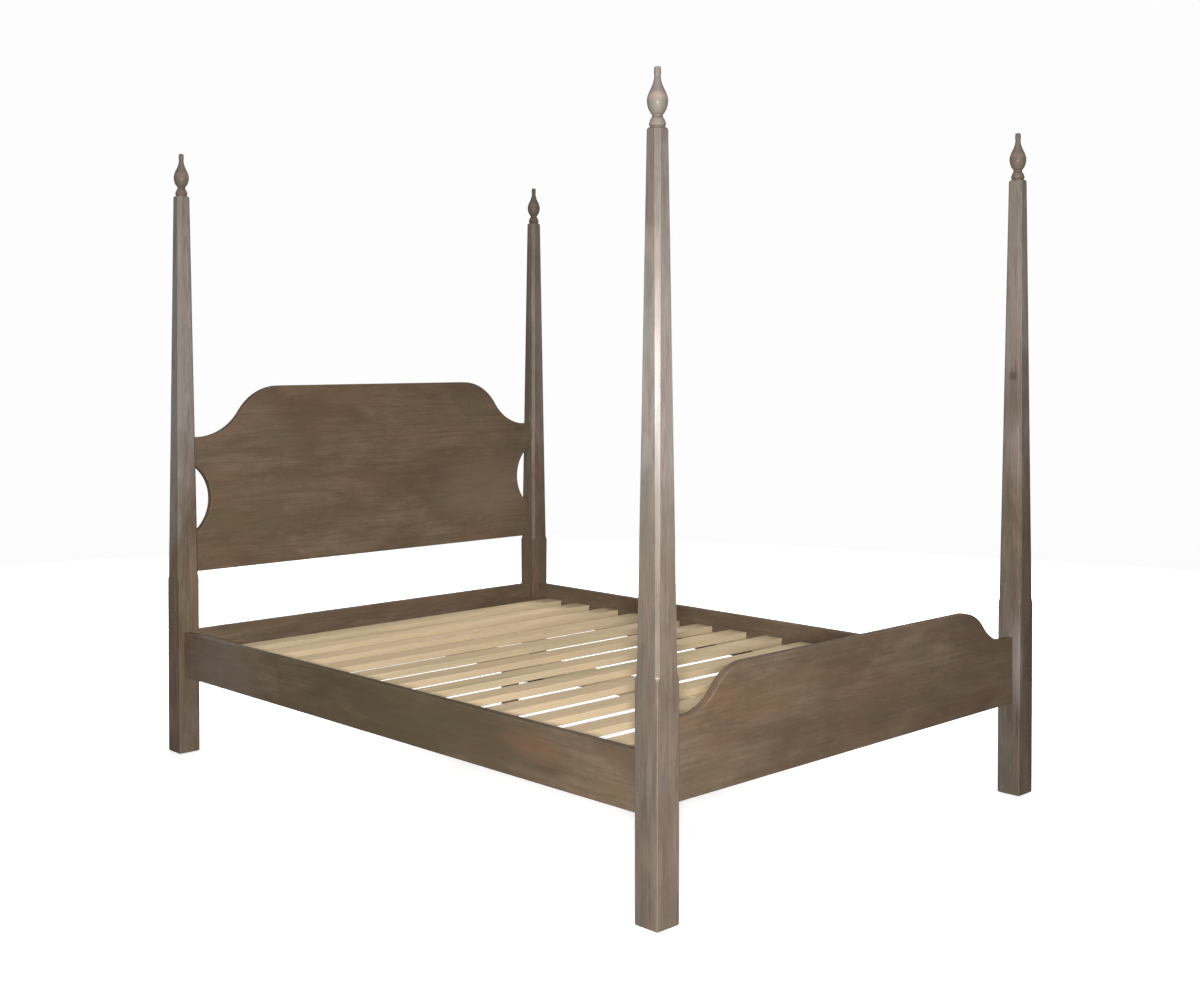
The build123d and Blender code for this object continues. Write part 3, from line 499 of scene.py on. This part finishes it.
def dress_maple():
    """Posts and finials have upright grain; boards and rails have grain along their length."""
    for number, ((end, side), tones) in enumerate(POST_TONES.items()):
        seed = 1.0 + SEEDS_PER_POST * number
        pale, painted_light_band, finial = tones
        spots = post_patches(end, side)
        dress_in_maple(f"post_{end}_{side}", "XYZ", seed, pale, painted_light_band, spots, POST_STREAKS)
        spots = finial_patches(end, side, finial)
        dress_in_maple(f"finial_{end}_{side}", "XYZ", seed + 1.0, finial, None, spots, FINIAL_STREAKS)
    patches = board_patches()
    for number, (node, axes) in enumerate(BOARD_GRAIN):
        dress_in_maple(node, axes, BOARD_SEED + number, patches=patches.get(node, ()))


def dress_poplar():
    """Slats run across the bed, cleats and the beam along it, and the centre legs stand up."""
    slats = sorted(node for node in NODES if node.startswith("slat_") and node[5:].isdigit())
    groups = (
        (slats, "YZX", 1.0),
        (("slat_cleat_left", "slat_cleat_right", "centre_beam"), "XZY", 20.0),
        (("centre_leg_foot", "centre_leg_head"), "XYZ", 30.0),
    )
    for nodes, axes, first_seed in groups:
        for number, node in enumerate(nodes):
            seed = first_seed + number
            dress(node, raw_poplar(f"poplar_{node}", middle_of(node), *axes, seed))


def dress_metal_and_plastic():
    """Each CAD material is named after its slot in the record, which picks the finish."""
    zinc = plated_steel("zinc_plate", (0.60, 0.61, 0.62), (0.44, 0.45, 0.45), 0.28, 0.46)
    screw = plated_steel("screw_zinc", (0.62, 0.60, 0.52), (0.42, 0.40, 0.34), 0.24, 0.42)
    brass = plain_brass("leg_brass")
    black = moulded_plastic("foot_black", (0.030, 0.030, 0.031), (0.055, 0.055, 0.054))
    brown = moulded_plastic("glide_brown", (0.095, 0.066, 0.045), (0.140, 0.104, 0.075))
    finishes = {
        "zinc_steel": zinc,
        "screw_steel": screw,
        "brass": brass,
        "foot_plastic": black,
        "glide_plastic": brown,
    }
    for node, piece in NODES.items():
        names = [material.name for material in piece.data.materials if material]
        for slot, finish in finishes.items():
            if any(slot in name for name in names):
                dress(node, finish)


# ---------------------------------------------------------------------------------------------
# Floor, light and camera
# ---------------------------------------------------------------------------------------------
FLOOR_RADIUS = 6.5
FLOOR_FADE_START = 2.2     # the floor fades into the surround from here out
FLOOR_GLOW = 0.52
FLOOR_PALE = 0.80
DOME_RADIUS = 30.0
DOME_GLOW = 0.985
WORLD_UP = 0.34            # the strength of the light from above and from below
WORLD_DOWN = 0.13
WORLD_BLEND = 0.25         # they blend between this height and its negative
WHITE = (1.0, 1.0, 1.0, 1.0)


def only_seen(piece):
    """The camera sees the piece, and it sends no light back to the bed."""
    piece.visible_diffuse = False
    piece.visible_glossy = False
    piece.visible_transmission = False


def make_floor():
    """A plain pale floor that takes a soft shadow, under a plain white surround."""
    bpy.ops.mesh.primitive_circle_add(vertices=96, radius=FLOOR_RADIUS, fill_type="NGON")
    floor = bpy.context.object
    floor.name = "floor"
    graph = Graph("floor_pale")
    away = graph.vector("LENGTH", graph.add("ShaderNodeTexCoord").outputs["Object"])
    pale = graph.add("ShaderNodeBsdfDiffuse", {"Color": (FLOOR_PALE, FLOOR_PALE, FLOOR_PALE, 1.0)})
    glow = graph.add("ShaderNodeEmission", {"Strength": FLOOR_GLOW})
    lit = graph.add("ShaderNodeAddShader", {0: pale.outputs[0], 1: glow.outputs[0]})
    clear = graph.add("ShaderNodeBsdfTransparent")
    fade = graph.add("ShaderNodeMixShader", {0: graph.ramp(away, FLOOR_FADE_START, FLOOR_RADIUS),
                                             1: lit.outputs[0], 2: clear.outputs[0]})
    output = graph.add("ShaderNodeOutputMaterial")
    graph.tree.links.new(fade.outputs[0], output.inputs["Surface"])
    floor.data.materials.append(graph.material)
    only_seen(floor)


def make_surround():
    """A white dome far behind everything."""
    bpy.ops.mesh.primitive_uv_sphere_add(segments=48, ring_count=24, radius=DOME_RADIUS)
    dome = bpy.context.object
    dome.name = "surround"
    graph = Graph("surround_white")
    glow = graph.add("ShaderNodeEmission", {"Strength": DOME_GLOW})
    graph.add("ShaderNodeOutputMaterial", {"Surface": glow.outputs[0]})
    dome.data.materials.append(graph.material)
    dome.visible_shadow = False
    only_seen(dome)


def make_world():
    """Soft light from all round, weaker from below."""
    world = bpy.data.worlds.new("studio")
    world.use_nodes = True
    tree = world.node_tree
    height = tree.nodes.new("ShaderNodeSeparateXYZ")
    place = tree.nodes.new("ShaderNodeTexCoord")
    tree.links.new(place.outputs["Generated"], height.inputs[0])
    level = tree.nodes.new("ShaderNodeMapRange")
    level.interpolation_type = "SMOOTHSTEP"
    levels = {"From Min": -WORLD_BLEND, "From Max": WORLD_BLEND, "To Min": WORLD_DOWN, "To Max": WORLD_UP}
    for name, value in levels.items():
        level.inputs[name].default_value = value
    tree.links.new(height.outputs["Z"], level.inputs["Value"])
    background = tree.nodes["Background"]
    background.inputs["Color"].default_value = WHITE
    tree.links.new(level.outputs["Result"], background.inputs["Strength"])
    SCENE.world = world


def make_softbox(name, place, aim, size, power, glossy=True):
    """A round lamp that the camera doesn't see; it leaves no highlight unless it is glossy."""
    light = bpy.data.lights.new(name, "AREA")
    light.shape = "DISK"
    light.size = size
    light.energy = power
    lamp = bpy.data.objects.new(name, light)
    lamp.location = place
    lamp.rotation_euler = (Vector(aim) - Vector(place)).to_track_quat("-Z", "Y").to_euler()
    lamp.visible_camera = False
    lamp.visible_glossy = glossy
    SCENE.collection.objects.link(lamp)


CAMERA_PLACE = Vector((-3.0064, -3.1897, 1.1962))
CAMERA_TURN = 44.018       # degrees to the right of +Y
CAMERA_DIP = 1.13          # degrees below level
CAMERA_LENS = 46.27
CAMERA_SENSOR = 36.0
CAMERA_SHIFT = (0.0017, -0.0984)
KEY_OFFSET = Vector((0.0, 0.0, -0.015))    # from the camera, as the photo's own light comes from there
KEY_AIM = (0.0, 0.0, 0.9)
KEY_SIZE = 0.26
KEY_POWER = 250.0
OVERHEAD_PLACE = (-0.9, -1.0, 3.1)
OVERHEAD_AIM = (-0.5, -0.6, 0.0)
OVERHEAD_SIZE = 3.0
OVERHEAD_POWER = 12.0
REAR_FILLS = ((4.4, 1.6, 1.9), (1.6, 4.6, 1.9))
REAR_FILL_AIM = (0.0, 0.0, 0.8)
REAR_FILL_SIZE = 1.6
REAR_FILL_POWER = 190.0


def make_camera():
    """A camera where the photo's was."""
    data = bpy.data.cameras.new("camera")
    data.sensor_width = CAMERA_SENSOR
    data.lens = CAMERA_LENS
    data.shift_x, data.shift_y = CAMERA_SHIFT
    camera = bpy.data.objects.new("camera", data)
    camera.location = CAMERA_PLACE
    camera.rotation_euler = (math.radians(90.0 - CAMERA_DIP), 0.0, -math.radians(CAMERA_TURN))
    SCENE.collection.objects.link(camera)
    SCENE.camera = camera


def make_lights():
    """A key light by the camera, a weak overhead light, and fills that keep the back from going dark."""
    make_softbox("key", CAMERA_PLACE + KEY_OFFSET, KEY_AIM, KEY_SIZE, KEY_POWER)
    make_softbox("overhead", OVERHEAD_PLACE, OVERHEAD_AIM, OVERHEAD_SIZE, OVERHEAD_POWER)
    for number, place in enumerate(REAR_FILLS):
        make_softbox(f"rear_fill_{number}", place, REAR_FILL_AIM, REAR_FILL_SIZE, REAR_FILL_POWER,
                     glossy=False)


def main():
    dress_maple()
    dress_poplar()
    dress_metal_and_plastic()
    make_floor()
    make_world()
    make_surround()
    make_lights()
    make_camera()
    SCENE.view_settings.view_transform = "Standard"


main()
